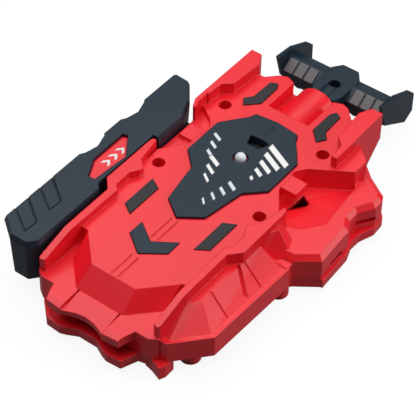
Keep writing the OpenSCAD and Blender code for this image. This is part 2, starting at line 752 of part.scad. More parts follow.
module idler_axle() {
    seat_z = reverse_z - stack_gap / 2;
    color(steel) translate(idler_at) {
        rod(idler_pin_r, floor_z + wall / 2, disc_z - stack_gap);
        rod(1.8 * idler_pin_r, seat_z - 1.5 * stack_gap, seat_z);
    }
}

module fork_post() {
    color(steel) translate([post_x, post_y, 0]) rod(post_r, floor_z + wall / 2, roof_z - stack_gap);
}

cup_r = spool_r - 2.2 * gear_m - web_t;

module spool_drive_gear() {
    color(acetal) translate(spool_at) difference() {
        gear(spool_teeth, 0, forward_z, drum_z);
        rod(cup_r, forward_z + web_t, drum_z + over);
        rod(arbor_r + run, forward_z - over, drum_z);
    }
}

module spool_drum() {
    color(slate) translate(spool_at) difference() {
        union() {
            rod(flange_r, drum_z, drum_z + flange_t);
            rod(core_r, drum_z, reverse_z);
            rod(flange_r, reverse_z - flange_t, reverse_z);
        }
        rod(axle_r + run, drum_z - over, reverse_z + over);
    }
}

module spool_feed_gear() {
    color(acetal) translate(spool_at) difference() {
        gear(feed_teeth, 0, reverse_z, reverse_z + reverse_t);
        rod(axle_r + run, reverse_z - over, reverse_z + reverse_t + over);
    }
}

module string_winding() {
    color("white") translate(spool_at)
        tube(spool_x - string_d / 2 - seat, core_r, drum_z + flange_t, reverse_z - flange_t);
}

module recoil_spring() {
    n = 24 * band_turns;
    r0 = arbor_r;
    r1 = cup_r - free - band_t;
    inner = [for (i = [0 : n]) let (r = r0 + (r1 - r0) * i / n) r * [cos(15 * i), sin(15 * i)]];
    outer = [for (i = [n : -1 : 0]) let (r = r0 + band_t + (r1 - r0) * i / n) r * [cos(15 * i), sin(15 * i)]];
    z = forward_z + web_t + free;
    color(steel) translate(spool_at) slab(concat(outer, inner), z, z + band_h);
}

module forward_gear() {
    color(acetal) difference() {
        union() {
            gear(forward_teeth, forward_phase, forward_z, drum_z);
            dogs(0, drum_z - over, drum_z + dog_h);
        }
        rod(shaft_r + run, forward_z - over, drum_z + over);
    }
}

module reverse_gear() {
    color(acetal) difference() {
        union() {
            gear(reverse_teeth, reverse_phase, reverse_z, reverse_z + reverse_t);
            rod(dog_out_r, collar_z + collar_t + shift_lift + run, reverse_z + over);
        }
        rod(shaft_r + run, collar_z, reverse_z + reverse_t + over);
    }
}

module idler_gear() {
    color(acetal) translate(idler_at) difference() {
        gear(idler_teeth, idler_phase, reverse_z, reverse_z + reverse_t);
        rod(idler_pin_r + run, reverse_z - over, reverse_z + reverse_t + over);
    }
}

// Launch shaft and centre pin

shaft_foot_z = 0.4 * wall;
flat_depth = 0.4;
shaft_flat = shaft_r - flat_depth;
bore_wall = 1.1;
spring_seat_z = string_z - web_t;
spring_bore_r = shaft_r - bore_wall;
cap_z = reverse_z + reverse_t + free;
hub_top_z = floor_z - free;

module launch_shaft() {
    color(steel) difference() {
        rod(shaft_r, shaft_foot_z, disc_z + disc_t);
        for (k = [-1, 1])
            translate([k * (shaft_flat + shaft_r) - shaft_r, -shaft_r, drum_z + stack_gap / 4])
                cube([2 * shaft_r, 2 * shaft_r, drum_h - stack_gap / 2]);
        rod(stem_r + free / 2, 0, deck_z);
        rod(spring_bore_r, spring_seat_z, deck_z);
    }
}

module prong_hub() {
    color(slate) difference() {
        union() {
            rod(spigot_r, 0, hub_top_z);
            rod(prong_r - wall / 4, hub_top_z - wall / 2, hub_top_z);
            for (i = [0 : 2]) {
                a = 90 + 120 * i;
                slab(sector(prong_r - wall, prong_r, a - 22, a + 22, 6), 0, hub_top_z);
                slab(sector(prong_r - wall, prong_r + wall / 4, a - 22, a - 8, 3), 0, wall / 2);
            }
        }
        rod(shaft_r, shaft_foot_z, floor_z);
        rod(stem_r + free / 2, -over, floor_z);
    }
}

module sensor_disc() {
    color(pad_black) difference() {
        rod(disc_r, disc_z, disc_z + disc_t);
        rod(shaft_r, 0, deck_z);
        for (i = [0 : 5])
            slab(sector(window_in_r + wall / 2, window_out_r - wall / 2, 60 * i + 4, 60 * i + 16, 2),
                0, deck_z);
    }
}

module shaft_cap() {
    color(steel) difference() {
        union() {
            rod(spring_bore_r, cap_z, disc_z + disc_t + over);
            rod(shaft_r + wall / 4, disc_z + disc_t, disc_z + disc_t + free);
        }
        rod(stem_r + free / 2, 0, deck_z);
    }
}

wire_r = 0.3;
coil_r = stem_r + 1.8 * wire_r;
coil_turns = 5;

module pin_spring() {
    z0 = spring_seat_z + web_t + wire_r;
    z1 = cap_z - wire_r;
    n = 10 * coil_turns;
    points = [
        for (i = [0 : n], k = [0 : 5])
            let (r = coil_r + wire_r * cos(60 * k))
                [r * cos(36 * i), r * sin(36 * i), z0 + (z1 - z0) * i / n + wire_r * sin(60 * k)]
    ];
    faces = [
        for (i = [0 : n - 1], k = [0 : 5], h = [0, 1])
            let (a = 6 * i + k, b = 6 * i + (k + 1) % 6, c = a + 6, d = b + 6)
                h == 0 ? [a, b, d] : [a, d, c]
    ];
    color(steel) polyhedron(points, concat(faces, [[5, 4, 3, 2, 1, 0], [for (k = [0 : 5]) 6 * n + k]]));
}

module center_pin() {
    dome_z = deck_z + plate_rise + dome_proud - dome_r;
    color("white") {
        rod(stem_r, shaft_foot_z / 2, dome_z);
        rod(spring_bore_r - free / 2, spring_seat_z, spring_seat_z + web_t);
        rod(dome_r, disc_z + disc_t + 2 * stack_gap, dome_z);
        translate([0, 0, dome_z]) sphere(r = dome_r, $fn = fine);
    }
}

// Direction change

collar_z = drum_z + stack_gap / 2 + dog_h;
collar_t = drum_h - stack_gap - shift_lift - 2 * dog_h;
collar_r = 7;
fork_w = 2.2;
fork_in_r = dog_out_r + 2 * free;
fork_out_r = collar_r + fork_w;
fork_lip = 0.7;
peg_r = 0.9;
peg_x = [post_x - wall / 2, post_x - 2.8 * wall];
peg_z = collar_z + collar_t / 2;

module shift_collar() {
    color(acetal) difference() {
        union() {
            rod(collar_r, collar_z, collar_z + collar_t);
            rod(dog_in_r - seat, collar_z - dog_h, collar_z + over);
            dogs(60, collar_z - dog_h, collar_z + over);
        }
        intersection() {
            rod(shaft_r + 2 * run, 0, deck_z);
            translate([-shaft_flat - 2 * run, -collar_r, 0])
                cube([2 * shaft_flat + 4 * run, 2 * collar_r, deck_z]);
        }
    }
}

module shift_fork() {
    z0 = collar_z - seat - fork_lip;
    z1 = collar_z + collar_t + seat + fork_lip;
    away = atan2(post_y, post_x);
    color(slate) difference() {
        union() {
            slab(sector(fork_in_r, fork_out_r, away - 80, away + 80, 16), z0, z1);
            rotate(away) translate([fork_out_r - wall / 2, -wall, z0])
                cube([norm([post_x, post_y]) - fork_out_r, 2 * wall, z1 - z0]);
            translate([post_x, post_y, 0]) rod(post_r + 0.6 * wall, z0 - wall / 4, z1 + wall / 4);
            translate([peg_x[1], post_y, peg_z]) rotate([0, 90, 0])
                cylinder(r = peg_r, h = peg_x[0] - peg_x[1], $fn = fine);
        }
        rod(collar_r + seat, collar_z - seat, collar_z + collar_t + seat);
        rod(fork_in_r, 0, deck_z);
        translate([post_x, post_y, 0]) rod(post_r + run, 0, deck_z);
    }
}

rail_x = -0.57 * half_w;
rail_web_t = 2;
rail_web_l = 5;
rail_head_t = 1.8;
rail_head_h = 4.4;
rail_z = selector_floor_z + 2 * wall + free;
carrier_z = [selector_floor_z, rail_z + rail_head_h / 2 + wall];
carrier_x = [rail_x - rail_web_l - rail_head_t - 2.8 * wall, rail_x - free];

module rail_bar(grow, y_share) {
    y0 = y_share[0] * reach;
    y1 = y_share[1] * reach;
    translate([rail_x - rail_web_l - over, y0, rail_z - rail_web_t / 2 - grow])
        cube([rail_web_l + over + 2 * grow, y1 - y0, rail_web_t + 2 * grow]);
    translate([rail_x - rail_web_l - rail_head_t - grow, y0, rail_z - rail_head_h / 2 - grow])
        cube([rail_head_t + 2 * grow, y1 - y0, rail_head_h + 2 * grow]);
}

module side_rail() {
    color(slate) intersection() {
        rail_bar(0, rail_y_share);
        translate([2 * rail_x, -2 * reach, 0]) cube([-rail_x, 4 * reach, deck_z]);
    }
}

module selector_carrier() {
    y = carrier_y_share * reach;
    ty = tongue_y_share * reach;
    slope = atan(shift_lift / selector_travel);
    x0 = carrier_x[1] - wall;
    color(slate) difference() {
        union() {
            translate([carrier_x[0], y[0], carrier_z[0]])
                cube([carrier_x[1] - carrier_x[0], y[1] - y[0], carrier_z[1] - carrier_z[0]]);
            translate([x0, ty[0], tongue_z[0]])
                cube([tongue_x[1] - x0, ty[1] - ty[0], tongue_z[1] - tongue_z[0]]);
            translate([tongue_x[1] - 0.75 * wall, ty[0], tongue_z[0]])
                cube([0.75 * wall, ty[1] - ty[0], peg_z + shift_lift + peg_r + wall / 2 - tongue_z[0]]);
        }
        rail_bar(free, [carrier_y_share[0] + carrier_end_share, 1]);
        translate([0, post_y, peg_z]) rotate([-slope, 0, 0]) {
            for (y = [free, -free - norm([selector_travel, shift_lift])])
                translate([2 * post_x, y, 0]) rotate([0, 90, 0])
                    cylinder(r = peg_r + seat, h = -post_x, $fn = fine);
            translate([2 * post_x, -free - norm([selector_travel, shift_lift]), -peg_r - seat])
                cube([-post_x, norm([selector_travel, shift_lift]) + 2 * free, 2 * (peg_r + seat)]);
        }
        at_selector_screws() rod(shank_r, 0, deck_z);
        at_selector_screws() rod(head_r + seat, 0, carrier_z[0] + wall);
    }
}

module at_selector_screws() {
    for (s = [-1.3, -0.2])
        translate([carrier_x[0] + 1.3 * wall, s * reach, 0]) children();
}

module selector_screws() {
    color(steel) at_selector_screws() {
        rod(head_r, carrier_z[0] + wall / 4, carrier_z[0] + wall);
        rod(shank_r, carrier_z[0] + wall / 2, carrier_z[1] + 2 * wall);
    }
}

module selector_grip() {
    top_z = deck_z + selector_rise;
    edge_z = deck_z + wall_rise / 2;
    y = carrier_y_share * reach;
    color(slate) difference() {
        union() {
            loft(at(grip_foot_shares), selector_floor_z, at(grip_top_shares), edge_z);
            loft(at(grip_top_shares), edge_z - over, inset(at(grip_top_shares), 0.4 * wall), top_z);
        }
        translate([carrier_x[0] - seat, y[0] - seat, 0])
            cube([-carrier_x[0], y[1] - y[0] + 2 * half_w, carrier_z[1]]);
        slab(at(grip_notch_shares), carrier_z[1] - over, 2 * deck_z);
        for (i = [0 : 1])
            translate([0, i * scallop_step_share * reach, 0]) slab(at(scallop_shares), 0, 2 * deck_z);
        for (i = [0 : 1])
            translate([0, i * recess_step_share * reach, 0]) difference() {
                slab(at(recess_shares), top_z - recess_depth, 2 * deck_z);
                slab(inset(at(recess_shares), groove_w), 0, top_z - groove_depth);
            }
        slab(at(window_shares), top_z - window_depth, 2 * deck_z);
        at_selector_screws() rod(shank_r, 0, carrier_z[1] + 2 * wall);
    }
}

module indicator_plate() {
    z = deck_z + selector_rise - window_depth;
    color(red) slab(inset(at(window_shares), seat), z, z + 0.6 * window_depth);
}

// Pull handle

hub_y = snout_y + handle_gap;
hub_top = string_z + hub_h / 2;
hub_tail = 0.62 * handle_gap;
arm_back_y = hub_y + 0.1 * hub_l;
arm_front_y = hub_y + 0.92 * hub_l;
knot_r = 1.5 * string_d;
knot_y = hub_y - 1.2 * knot_r;
pocket_r = knot_r + free;
hub_seat_z = string_z + 0.1 * hub_h;

rib_x = [0.17 * handle_w, handle_w / 2 - end_plate_t - wall / 4];
rib_l = (rib_x[1] - rib_x[0]) / 3;
bump_r = 0.48 * rib_l;
bump_d = wall / 4;

module plate_outline() {
    polygon([
        [hub_y - 0.05 * hub_l, 1.03 * hub_h], [hub_y + 0.56 * hub_l, 0.9 * hub_h],
        [hub_y + 1.29 * hub_l, 0.28 * hub_h], [hub_y + 1.49 * hub_l, -0.08 * hub_h],
        [hub_y + 1.5 * hub_l, -1.17 * hub_h], [hub_y + 1.17 * hub_l, -1.5 * hub_h],
        [hub_y + 0.16 * hub_l, -0.36 * hub_h]
    ]);
}

module arm_section(x0, x1) {
    across([
        [arm_back_y, string_z - 0.5 * hub_h], [arm_back_y, string_z + 0.1 * hub_h],
        [arm_back_y + 0.32 * hub_l, hub_top], [arm_back_y + 0.42 * hub_l, hub_top],
        [arm_front_y, string_z + 0.12 * hub_h], [arm_front_y, string_z - 0.5 * hub_h]
    ], x0, x1);
}

module hub_block() {
    linear_extrude(hub_h) polygon([
        [-0.4 * hub_w, hub_y - hub_tail], [0.4 * hub_w, hub_y - hub_tail],
        [hub_w / 2, hub_y], [hub_w / 2, hub_y + 0.75 * hub_l],
        [0.27 * hub_w, hub_y + hub_l], [-0.27 * hub_w, hub_y + hub_l],
        [-hub_w / 2, hub_y + 0.75 * hub_l], [-hub_w / 2, hub_y]
    ]);
}

module handle_body() {
    translate([0, 0, string_z - hub_h / 2]) hub_block();
    arm_section(-handle_w / 2 + end_plate_t, handle_w / 2 - end_plate_t);
}

module handle_screw_at() {
    translate([0, hub_y + 0.25 * hub_l, 0]) children();
}

module handle_upper() {
    color(slate) difference() {
        union() {
            intersection() {
                handle_body();
                translate([-half_w, 0, string_z]) cube([2 * half_w, 3 * reach, deck_z]);
            }
            for (x = [-handle_w / 2, handle_w / 2 - end_plate_t])
                translate([x, 0, string_z]) rotate([90, 0, 90]) linear_extrude(end_plate_t) plate_outline();
            translate([0, 0, string_z]) bar(plug_r, snout_y - mouth_depth + stack_gap, hub_y + wall);
        }
        translate([0, 0, string_z]) {
            bar(pocket_r, knot_y - pocket_r, hub_y + wall + over);
            bar(string_d / 2 + seat, 0, hub_y);
        }
        handle_screw_at() rod(hub_bore_r, hub_seat_z, 2 * deck_z);
        handle_screw_at() rod(shank_r, 0, 2 * deck_z);
    }
}

module handle_lower() {
    color(slate) difference() {
        intersection() {
            union() {
                handle_body();
                both_sides() for (i = [0 : 2])
                    translate([rib_x[0] + (i + 0.5) * rib_l, 0, string_z - 0.62 * hub_h + bump_r])
                        bar(bump_r, arm_back_y + bump_d, arm_front_y - bump_d);
            }
            translate([-half_w, 0, 0]) cube([2 * half_w, 3 * reach, string_z]);
        }
        translate([0, 0, string_z]) bar(plug_r + over, 0, hub_y + wall + over);
        handle_screw_at() rod(shank_r, string_z - 0.4 * hub_h, 2 * deck_z);
    }
}

module grip_ribs() {
    low = [arm_back_y, string_z + 0.1 * hub_h];
    high = [arm_back_y + 0.32 * hub_l, hub_top];
    out = wall / 4 * left_of(unit(high - low));
    color(rib_grey) both_sides() for (i = [0 : 2])
        across([low, high, high + out, low + out],
            rib_x[0] + i * rib_l + 0.7 * groove_w, rib_x[0] + (i + 1) * rib_l - 0.7 * groove_w);
}

module handle_screw() {
    color(steel) handle_screw_at() {
        rod(shank_r, string_z - 0.4 * hub_h, hub_seat_z + over);
        rod(head_r, hub_seat_z, hub_seat_z + wall / 2);
    }
}

module string_knot() {
    color("white") translate([0, knot_y, string_z]) sphere(r = knot_r, $fn = 32);
}

module pull_string() {
    color("white") translate([0, 0, string_z]) bar(string_d / 2, spool_y, knot_y - knot_r - seat);
}

upper_shell();
lower_shell();
top_plate();
chevron_inlay();
front_pads();
rear_pads();
string_eyelet();
side_rail();
case_screws();
spool_axle();
idler_axle();
fork_post();
spool_drive_gear();
spool_drum();
spool_feed_gear();
string_winding();
recoil_spring();
pull_string();
forward_gear();
reverse_gear();
idler_gear();
launch_shaft();
prong_hub();
sensor_disc();
shaft_cap();
pin_spring();
center_pin();
shift_collar();
shift_fork();
selector_grip();
selector_carrier();
selector_screws();
indicator_plate();
handle_upper();
handle_lower();
grip_ribs();
handle_screw();
string_knot();
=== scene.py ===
import math

import bmesh
import bpy
from mathutils import Matrix, Vector


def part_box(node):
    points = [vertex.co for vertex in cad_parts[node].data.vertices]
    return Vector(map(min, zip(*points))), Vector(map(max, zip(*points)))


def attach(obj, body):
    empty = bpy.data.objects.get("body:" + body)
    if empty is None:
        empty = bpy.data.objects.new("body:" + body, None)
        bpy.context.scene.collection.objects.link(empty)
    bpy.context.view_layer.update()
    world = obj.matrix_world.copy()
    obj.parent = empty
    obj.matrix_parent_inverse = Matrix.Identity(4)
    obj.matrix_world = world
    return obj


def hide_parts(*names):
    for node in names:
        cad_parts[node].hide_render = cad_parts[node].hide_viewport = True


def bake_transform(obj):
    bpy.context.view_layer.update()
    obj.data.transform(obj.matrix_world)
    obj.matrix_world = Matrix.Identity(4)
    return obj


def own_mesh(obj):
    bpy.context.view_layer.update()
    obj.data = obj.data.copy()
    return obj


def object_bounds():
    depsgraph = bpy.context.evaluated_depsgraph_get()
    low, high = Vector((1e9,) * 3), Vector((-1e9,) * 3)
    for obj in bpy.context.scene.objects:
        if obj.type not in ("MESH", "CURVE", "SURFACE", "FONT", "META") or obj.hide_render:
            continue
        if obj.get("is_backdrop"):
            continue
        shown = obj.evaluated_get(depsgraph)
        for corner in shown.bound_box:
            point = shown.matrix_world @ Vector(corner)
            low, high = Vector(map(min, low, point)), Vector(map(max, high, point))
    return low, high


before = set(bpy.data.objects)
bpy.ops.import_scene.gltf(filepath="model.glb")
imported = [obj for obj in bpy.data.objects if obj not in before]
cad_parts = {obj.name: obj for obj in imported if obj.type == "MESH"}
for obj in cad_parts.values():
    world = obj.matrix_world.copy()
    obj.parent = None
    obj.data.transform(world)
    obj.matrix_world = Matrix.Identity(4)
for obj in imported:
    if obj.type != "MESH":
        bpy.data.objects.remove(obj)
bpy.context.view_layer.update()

MM = 0.001
WHITE = (1, 1, 1, 1)

# Finishes, as sRGB hex values
RED = "#F21B2A"
RED_DEEP = "#E81523"
SLATE = "#1B2C39"
SLATE_DEEP = "#14212C"
# Lighter grey of the grip pad's ridge tops: a painted highlight
PAD_RIDGE_HIGHLIGHT = "#5C646C"
PAD_BLACK = "#131517"
# Near black of the grip pad's hollows: painted shade; also the deeper random tone of the sensor disc
HOLLOW_SHADE_AND_DISC_DEEP = "#060708"
RIB_GREY = "#6E6D6F"
RIB_SHADE = "#5A5A5E"
PIN_WHITE = "#E8EEF6"
ACETAL = "#E6E2D6"
ZINC = "#B9BDC2"
SPRING = "#9A9EA4"
BLACKENED = "#2B2D30"
CORD = "#EDEBE4"
BAR_SILVER = "#DDE3EA"
ARROW_WHITE = "#F4F4F2"
BACKDROP = "#525254"

# Real sizes of the surface patterns, in millimetres
FLOW_MM = 38
SPARK_GRAIN_MM = 0.35
PLATE_GRAIN_MM = 0.5
GRAIN_DEPTH_MM = 0.05
MOULD_RADIUS_MM = 0.55
PAD_PITCH_MM = 1.1
PAD_RISE_MM = 0.3
BRUSH_MM = 0.15
BRUSH_DEPTH_MM = 0.02
CORD_STRAND_MM = 0.45
STRAND_RISE_MM = 0.08

# The part of a noise texture's range that carries most of its pattern
NOISE_LOW = 0.3
NOISE_HIGH = 0.7


def linear(hex_colour):
    """An sRGB hex value as linear RGBA."""
    channels = [int(hex_colour[i:i + 2], 16) / 255 for i in (1, 3, 5)]
    return [c / 12.92 if c <= 0.04045 else ((c + 0.055) / 1.055) ** 2.4 for c in channels] + [1.0]


def add(tree, kind, settings=None, **inputs):
    """A node with its settings, and its inputs as values or links.

    An input is named with _ for a space, or by its number, such as i0.
    """
    node = tree.nodes.new(kind)
    for name, value in (settings or {}).items():
        setattr(node, name, value)
    for name, value in inputs.items():
        key = int(name[1:]) if name[0] == "i" and name[1:].isdigit() else name.replace("_", " ")
        if isinstance(value, bpy.types.NodeSocket):
            tree.links.new(value, node.inputs[key])
        else:
            node.inputs[key].default_value = value
    return node


def new_material(name):
    material = bpy.data.materials.new(name)
    material.use_nodes = True
    tree = material.node_tree
    tree.nodes.clear()
    shader = tree.nodes.new("ShaderNodeBsdfPrincipled")
    output = tree.nodes.new("ShaderNodeOutputMaterial")
    tree.links.new(shader.outputs[0], output.inputs[0])
    return material, tree, shader


def place_mm(tree):
    """The point on the object, in millimetres."""
    coordinates = add(tree, "ShaderNodeTexCoord")
    scaled = add(tree, "ShaderNodeVectorMath", {"operation": "SCALE"},
                 i0=coordinates.outputs["Object"], Scale=1 / MM)
    return scaled.outputs[0]


def moulded(name, hex_main, hex_deep, roughness,
            grain_mm=SPARK_GRAIN_MM, grain_strength=0.12, coat=0.0, gloss=0.5):
    """Injection-moulded plastic.

    The mould's spark-eroded grain breaks the highlight up, the flow of the plastic shades it faintly,
    and rounded edges catch a thin line of light.
    """
    flow_share = 0.22
    dull, bright = 0.06, 0.05
    material, tree, shader = new_material(name)
    place = place_mm(tree)
    flow = add(tree, "ShaderNodeTexNoise", i0=place, Scale=1 / FLOW_MM, Detail=3.0)
    shade = add(tree, "ShaderNodeMapRange", i0=flow.outputs[0], From_Min=NOISE_LOW, From_Max=NOISE_HIGH,
                To_Min=0.0, To_Max=flow_share)
    colour = add(tree, "ShaderNodeMix", {"data_type": "RGBA"}, i0=shade.outputs[0],
                 i6=linear(hex_main), i7=linear(hex_deep))
    tree.links.new(colour.outputs[2], shader.inputs["Base Color"])
    grain = add(tree, "ShaderNodeTexNoise", i0=place, Scale=1 / grain_mm, Detail=2.0)
    polish = add(tree, "ShaderNodeMapRange", i0=grain.outputs[0], From_Min=NOISE_LOW, From_Max=NOISE_HIGH,
                 To_Min=roughness - bright, To_Max=roughness + dull)
    tree.links.new(polish.outputs[0], shader.inputs["Roughness"])
    rounded = add(tree, "ShaderNodeBevel", {"samples": 6}, Radius=MOULD_RADIUS_MM * MM)
    bump = add(tree, "ShaderNodeBump", Height=grain.outputs[0], Strength=grain_strength,
               Distance=GRAIN_DEPTH_MM * MM, Normal=rounded.outputs[0])
    tree.links.new(bump.outputs[0], shader.inputs["Normal"])
    shader.inputs["IOR"].default_value = 1.53
    shader.inputs["Specular IOR Level"].default_value = gloss
    shader.inputs["Coat Weight"].default_value = coat
    shader.inputs["Coat Roughness"].default_value = 0.2
    return material


def hex_mesh(name):
    """Moulded grip pad: hexagonal mesh with painted shade, near black, in the hollows and a lighter painted
    highlight on the ridges, which makes the pad look rough.

    Two grids of points, one shifted by half a cell, give the centres of the hollows.
    """
    hollow_edge = 0.4 * PAD_PITCH_MM
    ridge_edge = 0.52 * PAD_PITCH_MM
    material, tree, shader = new_material(name)
    place = place_mm(tree)
    cell = Vector((PAD_PITCH_MM, PAD_PITCH_MM * math.sqrt(3), 1.0))
    shrink = Vector((1 / cell.x, 1 / cell.y, 0.0))
    distances = []
    for shift in (0.0, 0.5):
        scaled = add(tree, "ShaderNodeVectorMath", {"operation": "MULTIPLY"}, i0=place, i1=shrink)
        moved = add(tree, "ShaderNodeVectorMath", {"operation": "ADD"},
                    i0=scaled.outputs[0], i1=(shift, shift, 0))
        part = add(tree, "ShaderNodeVectorMath", {"operation": "FRACTION"}, i0=moved.outputs[0])
        centred = add(tree, "ShaderNodeVectorMath", {"operation": "SUBTRACT"},
                      i0=part.outputs[0], i1=(0.5, 0.5, 0))
        sized = add(tree, "ShaderNodeVectorMath", {"operation": "MULTIPLY"},
                    i0=centred.outputs[0], i1=(cell.x, cell.y, 0))
        length = add(tree, "ShaderNodeVectorMath", {"operation": "LENGTH"}, i0=sized.outputs[0])
        distances.append(length.outputs["Value"])
    nearest = add(tree, "ShaderNodeMath", {"operation": "MINIMUM"}, i0=distances[0], i1=distances[1])
    ridge = add(tree, "ShaderNodeMapRange", i0=nearest.outputs[0], From_Min=hollow_edge, From_Max=ridge_edge)
    # The colour follows the mesh's height: painted shade in the hollows, a painted highlight on the ridge
    # tops
    colour = add(tree, "ShaderNodeMix", {"data_type": "RGBA"}, i0=ridge.outputs[0],
                 i6=linear(HOLLOW_SHADE_AND_DISC_DEEP), i7=linear(PAD_RIDGE_HIGHLIGHT))
    tree.links.new(colour.outputs[2], shader.inputs["Base Color"])
    bump = add(tree, "ShaderNodeBump", Height=ridge.outputs[0], Strength=0.8, Distance=PAD_RISE_MM * MM)
    tree.links.new(bump.outputs[0], shader.inputs["Normal"])
    shader.inputs["Roughness"].default_value = 0.5
    return material


def turned_steel(name, hex_main, roughness):
    """Plated, drawn or blackened steel: fine lines left by the tool stretch the highlight."""
    along_line = 0.1
    dull, bright = 0.08, 0.06
    material, tree, shader = new_material(name)
    place = place_mm(tree)
    stretched = add(tree, "ShaderNodeVectorMath", {"operation": "MULTIPLY"},
                    i0=place, i1=(along_line, along_line, 1.0))
    lines = add(tree, "ShaderNodeTexNoise", i0=stretched.outputs[0], Scale=1 / BRUSH_MM, Detail=2.0)
    bump = add(tree, "ShaderNodeBump", Height=lines.outputs[0], Strength=0.15, Distance=BRUSH_DEPTH_MM * MM)
    tree.links.new(bump.outputs[0], shader.inputs["Normal"])
    polish = add(tree, "ShaderNodeMapRange", i0=lines.outputs[0],
                 To_Min=roughness - bright, To_Max=roughness + dull)
    tree.links.new(polish.outputs[0], shader.inputs["Roughness"])
    shader.inputs["Base Color"].default_value = linear(hex_main)
    shader.inputs["Metallic"].default_value = 1.0
    return material


def braided_cord(name):
    """Braided polyester cord: strands that cross on two slants give it a soft, knitted look."""
    strand_wave = math.tau / CORD_STRAND_MM / 2
    material, tree, shader = new_material(name)
    place = place_mm(tree)
    strands = []
    for turn in (1, -1):
        slanted = add(tree, "ShaderNodeVectorMath", {"operation": "DOT_PRODUCT"},
                      i0=place, i1=(turn, 1.0, turn))
        wave = add(tree, "ShaderNodeMath", {"operation": "MULTIPLY"},
                   i0=slanted.outputs["Value"], i1=strand_wave)
        strands.append(add(tree, "ShaderNodeMath", {"operation": "SINE"}, i0=wave.outputs[0]).outputs[0])
    braid = add(tree, "ShaderNodeMath", {"operation": "MAXIMUM"}, i0=strands[0], i1=strands[1])
    bump = add(tree, "ShaderNodeBump", Height=braid.outputs[0], Strength=0.6, Distance=STRAND_RISE_MM * MM)
    tree.links.new(bump.outputs[0], shader.inputs["Normal"])
    shader.inputs["Base Color"].default_value = linear(CORD)
    shader.inputs["Roughness"].default_value = 0.75
    shader.inputs["Sheen Weight"].default_value = 0.3
    return material


# Satin plastics: the red shells shine a little more than the slate parts, and the top plate is the dullest
red_abs = moulded("red moulded ABS", RED, RED_DEEP, roughness=0.34)
slate_abs = moulded("slate moulded ABS", SLATE, SLATE_DEEP, roughness=0.38, gloss=0.3)
plate_abs = moulded("slate textured ABS plate", SLATE, SLATE_DEEP, roughness=0.46,
                    grain_mm=PLATE_GRAIN_MM, grain_strength=0.3, gloss=0.3)
rib_plastic = moulded("grey moulded grip", RIB_GREY, RIB_SHADE, roughness=0.5, gloss=0.3)
pin_acetal = moulded("white polished acetal", PIN_WHITE, BAR_SILVER, roughness=0.22,
                     grain_strength=0.02, coat=0.3)
gear_acetal = moulded("natural acetal", ACETAL, BAR_SILVER, roughness=0.42)
disc_plastic = moulded("black sensor disc", PAD_BLACK, HOLLOW_SHADE_AND_DISC_DEEP, roughness=0.5)
pad_plastic = hex_mesh("hex mesh pad")
plated_steel = turned_steel("zinc-plated steel", ZINC, roughness=0.32)
drawn_steel = turned_steel("drawn spring steel", SPRING, roughness=0.28)
blackened_steel = turned_steel("blackened steel", BLACKENED, roughness=0.4)
cord_braid = braided_cord("braided polyester cord")

# Printed ink: matter than the plastic, with hardly any grain
print_silver = moulded("pad-printed silver ink", BAR_SILVER, PIN_WHITE, roughness=0.45, grain_strength=0.05)
print_white = moulded("pad-printed white ink", ARROW_WHITE, PIN_WHITE, roughness=0.45, grain_strength=0.05)

FINISH = {
    red_abs: ["upper_shell", "lower_shell", "indicator_plate"],
    slate_abs: [
        "side_rail", "spool_drum", "prong_hub", "shift_fork", "selector_grip", "selector_carrier",
        "handle_upper", "handle_lower",
    ],
    plate_abs: ["top_plate", "chevron_inlay"],
    pad_plastic: ["front_pads", "rear_pads"],
    rib_plastic: ["grip_ribs"],
    pin_acetal: ["center_pin"],
    gear_acetal: [
        "spool_drive_gear", "spool_feed_gear", "forward_gear", "reverse_gear", "idler_gear", "shift_collar",
    ],
    disc_plastic: ["sensor_disc"],
    plated_steel: [
        "selector_screws", "spool_axle", "idler_axle", "fork_post", "launch_shaft", "shaft_cap",
        "string_eyelet",
    ],
    blackened_steel: ["case_screws", "handle_screw"],
    drawn_steel: ["recoil_spring", "pin_spring"],
    cord_braid: ["string_winding", "pull_string", "string_knot"],
}

# Width of the rounded edges that moulding leaves, in millimetres
EDGE_MM = {
    "upper_shell": 0.3, "lower_shell": 0.3, "selector_grip": 0.3, "handle_upper": 0.2, "top_plate": 0.08,
}
COMMON_EDGE_MM = 0.12
EDGE_ANGLE = 28
WELD_MM = 0.001

# Round forms, which have no edge to round
PLAIN_EDGES = {"pin_spring", "recoil_spring", "pull_string", "string_knot", "string_winding"}


def dress(node, material):
    """The finish of a CAD node, with its edges rounded as the mould or the tool leaves them."""
    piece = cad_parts[node]
    piece.data.materials.clear()
    piece.data.materials.append(material)
    if node in PLAIN_EDGES:
        return
    weld = piece.modifiers.new("weld", "WELD")
    weld.merge_threshold = WELD_MM * MM
    edge = piece.modifiers.new("edges", "BEVEL")
    edge.width = EDGE_MM.get(node, COMMON_EDGE_MM) * MM
    edge.segments = 2
    edge.limit_method = "ANGLE"
    edge.angle_limit = math.radians(EDGE_ANGLE)
    edge.use_clamp_overlap = True
    clean = piece.modifiers.new("face normals", "WEIGHTED_NORMAL")
    clean.weight = 100
    clean.keep_sharp = True


for finish, nodes in FINISH.items():
    for node in nodes:
        dress(node, finish)


def new_piece(name, mesh, material, body):
    piece = bpy.data.objects.new(name, mesh)
    bpy.context.scene.collection.objects.link(piece)
    piece.data.materials.append(material)
    if body:
        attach(piece, body)
    return piece


# Thickness of printed ink
INK = 0.03 * MM


